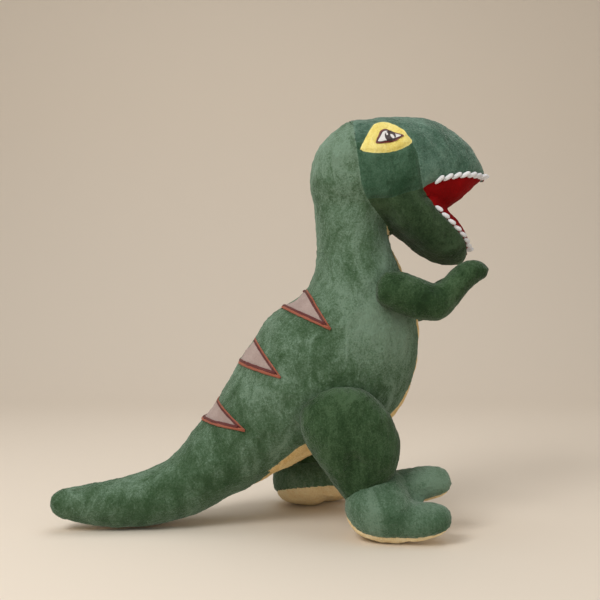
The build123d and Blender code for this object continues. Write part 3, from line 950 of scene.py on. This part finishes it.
def soleLabels(obj, side):
    x, y, z = (faceMiddles(obj) / mm).T
    turn = math.radians(foot["roll"][side])
    level = (foot["side"][side] - y) * math.sin(turn) + (z - foot["middle"]) * math.cos(turn)
    level -= foot["soleRise"] * (x - foot["heel"] - 40)
    return np.where(level < foot["soleLevel"][side], 1, 2)


def footPieces(side):
    drop = foot["toeDrop"][side]
    form = joined("footForm", [footPart(footRows, side),
                               footPart(toeRows, side, -foot["toeAcross"], 33, -0.02, drop),
                               footPart(toeRows, side, foot["toeAcross"], 34, 0.04, drop)])
    evened(form, footCloth)
    filled(form, seamGap(form, borderOf(form, soleLabels(form, side)), 30 * mm), footCloth)
    co = spots(form)
    co[:, 2] -= co[:, 2].min() + 0.8 * mm
    low = co[:, 2] < 1.5 * mm
    co[low, 2] = np.maximum(0.9 * mm + 0.1 * co[low, 2], 0.35 * mm)
    setSpots(form, co)
    labels = soleLabels(form, side)
    border = borderOf(form, labels)
    nap(form, 80, lump=0.35)
    creased(form, seamGap(form, border, 12 * mm), 1.1, 2.2)
    pieces = [panelFrom(form, "foot_upper_", labels == 2), panelFrom(form, "foot_sole_", labels == 1)]
    bpy.data.objects.remove(form)
    return pieces


heelShift = Vector((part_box("foot_sole_left")[0][0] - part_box("foot_sole_right")[0][0], 0, 0))
for side in sides:
    for piece, material, slotName, stands in zip(footPieces(side), (footPlush, solePlush),
                                                 ("foot_plush", "belly_plush"),
                                                 (["foot_upper_", "foot_stuffing_"], ["foot_sole_"])):
        if side == "left":
            piece.data.transform(Matrix.Translation(heelShift) @ Matrix.Diagonal((1, -1, 1, 1)))
            piece.data.flip_normals()
        piece.name = piece.name.split(".")[0] + side
        finishPiece(piece, material)
        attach(piece, "leg_" + side)
        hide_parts(*[stand + side for stand in stands])
print("feet sewn")

# tooth trim along both lips: small stuffed tabs that lap one over the next

tooth = dict(thick=4.3, deep=4.0, lift=0.9, forward=0.16)
upperTrim = dict(middle=0.165, reach=106, long=11.6, pitch=8.6, along=0.90, out=0.30, rise=0.34)
lowerTrim = dict(middle=0.160, reach=96, long=9.0, pitch=9.0, along=0.90, out=0.24, rise=0.16)


def toothMesh(long):
    # one tab, fuller at its free end
    clearSelection()
    bpy.ops.mesh.primitive_uv_sphere_add(segments=16, ring_count=10, radius=0.5 * mm)
    obj = bpy.context.object
    bpy.ops.object.mode_set(mode="EDIT")
    bpy.ops.mesh.select_all(action="SELECT")
    bpy.ops.transform.resize(value=(tooth["thick"], tooth["deep"], long))
    bpy.ops.object.mode_set(mode="OBJECT")
    for vert in obj.data.vertices:
        share = vert.co.z / (0.5 * long * mm)
        fuller = (1 - share ** 4) ** 0.12 if abs(share) < 1 else 1
        vert.co.x *= (1 + 0.12 * share) * (1.10 if abs(share) > 0.4 else 1.0) * fuller
    return obj


def lipPath(tree, line, middle, spanTo):
    # where the lip runs round the form, right corner to left corner
    path = []
    points = curved(line, 6) * mm
    xs, zs = points[:, 0], points[:, 1]
    for step in range(241):
        turn = math.radians(-spanTo + 2 * spanTo * step / 240)
        reach = Vector((math.cos(turn), math.sin(turn), 0))
        height = float(np.interp(middle, xs, zs))
        hit = None
        for _ in range(8):
            start = Vector((middle, 0, height)) + reach * 0.12
            hit = tree.ray_cast(start, -reach)
            if hit[0] is None:
                break
            height = 0.5 * height + 0.5 * float(np.interp(hit[0].x, xs, zs))
        if hit[0] is not None:
            path.append((hit[0], hit[1]))
    return path


def toothTrim(name, path, trim):
    pattern = toothMesh(trim["long"])
    marks = []
    travelled = trim["pitch"] * mm * 0.5
    whole = sum((b - a).length for (a, _), (b, _) in zip(path, path[1:]))
    step = whole / round(whole / (trim["pitch"] * mm))
    for (a, _), (b, face) in zip(path, path[1:]):
        travelled += (b - a).length
        if travelled >= step:
            travelled -= step
            marks.append((b, face, (b - a).normalized()))
    teeth = []
    for spot, face, ahead in marks:
        out = Vector((face.x, face.y, face.z * 0.2)).normalized()
        up = out.cross(ahead).normalized()
        if up.z < 0:
            up = -up
        toFront = ahead if spot.y < 0 else -ahead
        fade = min(1.0, abs(spot.y) / (14 * mm))
        axis = toFront * trim["along"] * fade + out * (trim["out"] + 0.6 * (1 - fade)) + up * trim["rise"]
        axis.normalize()
        deep = (out - axis * out.dot(axis)).normalized()
        turn = Matrix((axis.cross(deep) * -1, deep, axis)).transposed().to_4x4()
        item = pattern.copy()
        item.data = pattern.data.copy()
        bpy.context.scene.collection.objects.link(item)
        place = spot + (out * tooth["lift"] + axis * tooth["forward"] * trim["long"]) * mm
        item.data.transform(Matrix.Translation(place) @ turn)
        teeth.append(item)
    bpy.data.objects.remove(pattern)
    piece = joined(name, teeth)
    outward(piece)
    smooth(piece)
    return piece


for name, line, trim, moves in (("upper_tooth_trim", lipLine, upperTrim, "head"),
                                ("lower_tooth_trim", gumLine, lowerTrim, "jaw")):
    path = lipPath(bodyTree, line, trim["middle"], trim["reach"])
    piece = toothTrim(name, path, trim)
    finishPiece(piece, toothCloth)
    if moves == "jaw":
        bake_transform(piece)
    else:
        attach(piece, "head")
    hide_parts(name)
    print(name, len(piece.data.vertices))

# back patches: felt with a stitched border, laid over the spine

patches = {
    "shoulder_patch": dict(rear=(15.5, 210), front=(33, 230), low=(58.6, 191.2)),
    "middle_patch": dict(rear=(-33.5, 162.0), front=(-14.5, 182.5), low=(13.0, 146.5)),
    "rump_patch": dict(rear=(-68.5, 103.0), front=(-53.5, 125.5), low=(-20.5, 97.0)),
}
stitch = dict(inner=1.8, outer=1.6)


backLine = [Vector((row[0], row[1])) for row in trunkRows[5:15]]


def offLine(spot):
    # the nearest place on the line through the middle of the body, and how far off the spot is
    best = None
    for a, b in zip(backLine, backLine[1:]):
        along = b - a
        place = a + along * min(1.0, max(0.0, (spot - a).dot(along) / along.length_squared))
        if best is None or (spot - place).length < best[1]:
            best = (place, (spot - place).length)
    return best


def castFrom(spot):
    # from the middle line through a side-view spot to the outline
    core, high = offLine(spot)
    start = Vector((core.x, tailMiddle(core.x * mm) / mm, core.y)) * mm
    rise = Vector((spot.x - core.x, 0, spot.y - core.y)).normalized()
    return start, rise, high * mm, bodyTree.ray_cast(start, rise)[3]


def onBack(ridge, low, share, side):
    # wraps a side-view spot round the back: share is 0 on the spine and 1 at the low point
    _, _, ridgeHigh, ridgeReach = castFrom(ridge)
    start, rise, high, reach = castFrom(ridge.lerp(low, share))
    wanted = high + (ridgeReach - ridgeHigh) * (1 - share)
    for _ in range(5):
        turn = math.acos(max(0.0, min(1.0, wanted / reach)))
        hit = bodyTree.ray_cast(start, rise * math.cos(turn) + Vector((0, side * math.sin(turn), 0)))
        reach = hit[3]
    return hit[0], hit[1]


def steps(corner, low, count):
    # shares from the spine to the low point, even round the back
    wide = math.acos(min(1.0, offLine(low)[1] / offLine(corner)[1]))
    return [(1 - math.cos(wide * i / count)) / (1 - math.cos(wide)) for i in range(count + 1)]


def patchSheet(corners, side, lift=0.7, rows=24):
    # the cloth between the spine and the low point on one side
    rear, front, low = corners
    shares = steps((rear + front) / 2, low, rows)
    verts = []
    for share in shares:
        for k in range(rows + 1):
            ridge = rear.lerp(front, k / rows)
            place, out = onBack(ridge, low, share, side)
            verts.append(place + out * lift * mm)
    return verts, gridFaces(rows, rows)


def ribbon(corner, low, width, lift, count=44):
    # a flat band from the low point on one side over the spine to the other
    path = []
    shares = steps(corner, low, count)
    for side, ordered in ((-1, shares[::-1]), (1, shares[1:])):
        path += [onBack(corner, low, share, side)[0] for share in ordered]
    beyond = width * 0.4 * mm
    path = [path[0] + (path[0] - path[1]).normalized() * beyond] + path
    path.append(path[-1] + (path[-1] - path[-2]).normalized() * beyond)
    verts = []
    for i, spot in enumerate(path):
        way = (path[min(i + 2, len(path) - 1)] - path[max(i - 2, 0)]).normalized()
        edge = bodyTree.find_nearest(spot)[1].cross(way).normalized() * width * mm / 2
        for k in range(5):
            place, out, _, _ = bodyTree.find_nearest(spot + edge * (k / 2 - 1))
            verts.append(place + out * (lift + 0.5 * (1 - (k / 2 - 1) ** 2)) * mm)
    return verts, gridFaces(len(path) - 1, 4)


def meet(a, along, b, other):
    # where two side-view lines cross
    return a + along * ((b - a).cross(other) / along.cross(other))


def inset(corners, amount):
    # the same triangle with its two stitched edges moved in; its spine edge stays on the spine
    rear, front, low = corners
    middle = (rear + front + low) / 3
    moved = []
    for corner in (rear, front):
        way = (low - corner).normalized()
        inward = Vector((-way.y, way.x))
        if inward.dot(middle - corner) < 0:
            inward = -inward
        moved.append((corner + inward * amount, way))
    spine = front - rear
    return (meet(*moved[0], rear, spine), meet(*moved[1], rear, spine), meet(*moved[0], *moved[1]))


def meshOf(name, parts, thick):
    verts, faces = [], []
    for v, f in parts:
        base = len(verts)
        verts += v
        faces += [tuple(i + base for i in face) for face in f]
    obj = newMesh(name, verts, faces)
    bm = bmesh.new()
    bm.from_mesh(obj.data)
    bmesh.ops.remove_doubles(bm, verts=bm.verts, dist=0.25 * mm)
    bmesh.ops.dissolve_degenerate(bm, edges=bm.edges, dist=0.05 * mm)
    bmesh.ops.recalc_face_normals(bm, faces=bm.faces)
    bm.to_mesh(obj.data)
    bm.free()
    inward = sum(1 if f.normal.dot(bodyTree.find_nearest(f.center)[1]) < 0 else -1 for f in obj.data.polygons)
    if inward > 0:
        obj.data.flip_normals()
    mod = obj.modifiers.new("thick", "SOLIDIFY")
    mod.thickness = thick * mm
    mod.offset = -1
    applyAll(obj)
    smooth(obj)
    return obj


for name, data in patches.items():
    corners = [Vector(data[key]) for key in ("rear", "front", "low")]
    darkEdge = inset(corners, stitch["outer"] + 0.5 * stitch["inner"])
    brightEdge = inset(corners, 0.5 * stitch["outer"])
    felt = meshOf(name, [patchSheet(darkEdge, side) for side in (-1, 1)], 1.0)
    finishPiece(felt, patchFelt)
    dark = meshOf(name + "_border", [ribbon(darkEdge[0], darkEdge[2], stitch["inner"], 0.95),
                                     ribbon(darkEdge[1], darkEdge[2], stitch["inner"], 1.0)], 0.9)
    finishPiece(dark, darkStitch)
    # the bright outer band, orange thread that is partly a painted highlight along the stitching
    bright = meshOf(name + "_border_edge", [ribbon(brightEdge[0], brightEdge[2], stitch["outer"], 0.8),
                                            ribbon(brightEdge[1], brightEdge[2], stitch["outer"], 0.85)], 0.9)
    finishPiece(bright, brightStitch)
    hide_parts(name)
    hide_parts(name + "_border")
    for piece in (felt, dark, bright):
        if name == "shoulder_patch":
            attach(piece, "trunk")
        else:
            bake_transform(piece)
print("patches laid")

# embroidered eyes: layers of thread on the yellow patch

eyeShape = [(99.9, 366.3), (102.2, 373.4), (104.9, 379.0), (109.3, 380.9), (113.8, 379.4), (119.4, 376.9),
            (126.2, 374.3), (121.7, 371.1), (118.0, 368.4), (110.0, 366.7)]
eye = dict(middle=(111.5, 373.2), edge=-1.5, white=-2.5, pupil=(113.4, 373.4), pupilSize=(5.3, 5.2))


def eyeLayer(name, outline, lift, material):
    # a thin pad of thread: a disc shaped to its outline, laid on the face and thickened
    clearSelection()
    points = curved(outline, 6, closed=True)
    count = len(points)
    middle = points.mean(axis=0)
    bpy.ops.mesh.primitive_circle_add(vertices=count, radius=1, fill_type="TRIFAN")
    obj = bpy.context.object
    obj.name = name
    bpy.ops.object.mode_set(mode="EDIT")
    bpy.ops.mesh.select_all(action="SELECT")
    bpy.ops.mesh.subdivide(number_cuts=3)
    bpy.ops.object.mode_set(mode="OBJECT")
    for vert in obj.data.vertices:
        reach = min(1.0, vert.co.length / math.cos(math.pi / count))
        turn = (math.atan2(vert.co.y, vert.co.x) / (2 * math.pi) * count) % count
        low = int(turn) % count
        edge = points[low] + (points[(low + 1) % count] - points[low]) * (turn - int(turn))
        x, z = middle + (edge - middle) * reach
        hit = bodyTree.ray_cast(Vector((x * mm, -0.2, z * mm)), Vector((0, 1, 0)))
        vert.co = hit[0] + hit[1] * lift * mm
    outward(obj)
    if sum(f.normal.y for f in obj.data.polygons) > 0:
        obj.data.flip_normals()
    mod = obj.modifiers.new("thread", "SOLIDIFY")
    mod.thickness = 0.5 * mm
    mod.offset = -1
    applyAll(obj)
    smooth(obj)
    return finishPiece(obj, material)


def scaledOutline(outline, amount):
    points = np.array(outline, float)
    middle = np.array(eye["middle"])
    away = points - middle
    length = np.linalg.norm(away, axis=1, keepdims=True)
    return [tuple(p) for p in middle + away * (length + amount) / length]


def oval(middle, size, lean=0, count=12):
    c, s = math.cos(math.radians(lean)), math.sin(math.radians(lean))
    out = []
    for k in range(count):
        turn = 2 * math.pi * k / count
        wide, high = size[0] * math.cos(turn), size[1] * math.sin(turn)
        out.append((middle[0] + wide * c - high * s, middle[1] + wide * s + high * c))
    return out


layers = [
    ("eye_outline", eyeShape, 0.8, eyeRed),
    ("eye_edge", scaledOutline(eyeShape, eye["edge"]), 1.0, eyeBlack),
    ("eye_white", scaledOutline(eyeShape, eye["white"]), 1.2, eyeWhite),
    ("eye_pupil", oval(eye["pupil"], eye["pupilSize"]), 1.4, eyeBlack),
    ("eye_glint_small", oval((110.2, 375.2), (0.9, 1.7), 25), 1.6, eyeWhite),
    ("eye_glint_large", oval((115.4, 372.6), (1.4, 2.6), 35), 1.6, eyeWhite),
]
for name, outline, lift, material in layers:
    piece = eyeLayer(name + "_right", outline, lift, material)
    twin = mirrored(piece, name + "_left")
    for side, item in (("right", piece), ("left", twin)):
        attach(item, "head")
        if name == "eye_outline":
            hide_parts("embroidered_eye_" + side)
print("eyes embroidered")

# floor, light and camera

sweep = dict(back=0.9, radius=0.8)
clearSelection()
bpy.ops.mesh.primitive_grid_add(x_subdivisions=2, y_subdivisions=200, size=10, location=(0, 0, 0))
floor = bpy.context.object
floor.name = "floor"
for vert in floor.data.vertices:
    beyond = vert.co.y - sweep["back"]
    if beyond > 0:
        turn = min(beyond / sweep["radius"], math.pi / 2)
        rest = max(0.0, beyond - sweep["radius"] * math.pi / 2)
        vert.co.y = sweep["back"] + sweep["radius"] * math.sin(turn)
        vert.co.z = sweep["radius"] * (1 - math.cos(turn)) + rest
smooth(floor)
floorMat, _, floorShader = nodesFor("paleFloor")
floorShader.inputs["Base Color"].default_value = (0.78, 0.70, 0.60, 1)
floorShader.inputs["Roughness"].default_value = 0.8
floor.data.materials.append(floorMat)

world = bpy.data.worlds.new("studio")
world.use_nodes = True
world.node_tree.nodes["Background"].inputs["Color"].default_value = (0.95, 0.90, 0.84, 1)
world.node_tree.nodes["Background"].inputs["Strength"].default_value = 0.44
bpy.context.scene.world = world


def areaLight(name, place, target, size, power, colour=(1, 1, 1)):
    lamp = bpy.data.lights.new(name, "AREA")
    lamp.size = size
    lamp.energy = power
    lamp.color = colour
    obj = bpy.data.objects.new(name, lamp)
    bpy.context.scene.collection.objects.link(obj)
    obj.location = place
    obj.rotation_euler = (Vector(target) - Vector(place)).to_track_quat("-Z", "Y").to_euler()


areaLight("key", (-0.75, -0.95, 1.25), (0.0, 0, 0.18), 0.7, 15, (1.0, 0.985, 0.96))
areaLight("fill", (1.2, -1.2, 0.5), (0.0, 0, 0.2), 1.4, 2.6, (1.0, 0.95, 0.9))
areaLight("top", (0.1, 0.15, 1.6), (0.0, 0, 0.2), 1.3, 7.5)

camera = bpy.data.cameras.new("camera")
camera.lens = 48.4
camera.sensor_width = 36
cameraObject = bpy.data.objects.new("camera", camera)
bpy.context.scene.collection.objects.link(cameraObject)
cameraObject.location = (0.0287, -0.8, 0.2196)
cameraObject.rotation_euler = (math.radians(90), 0, 0)
bpy.context.scene.camera = cameraObject
bpy.context.scene.view_settings.view_transform = "Standard"
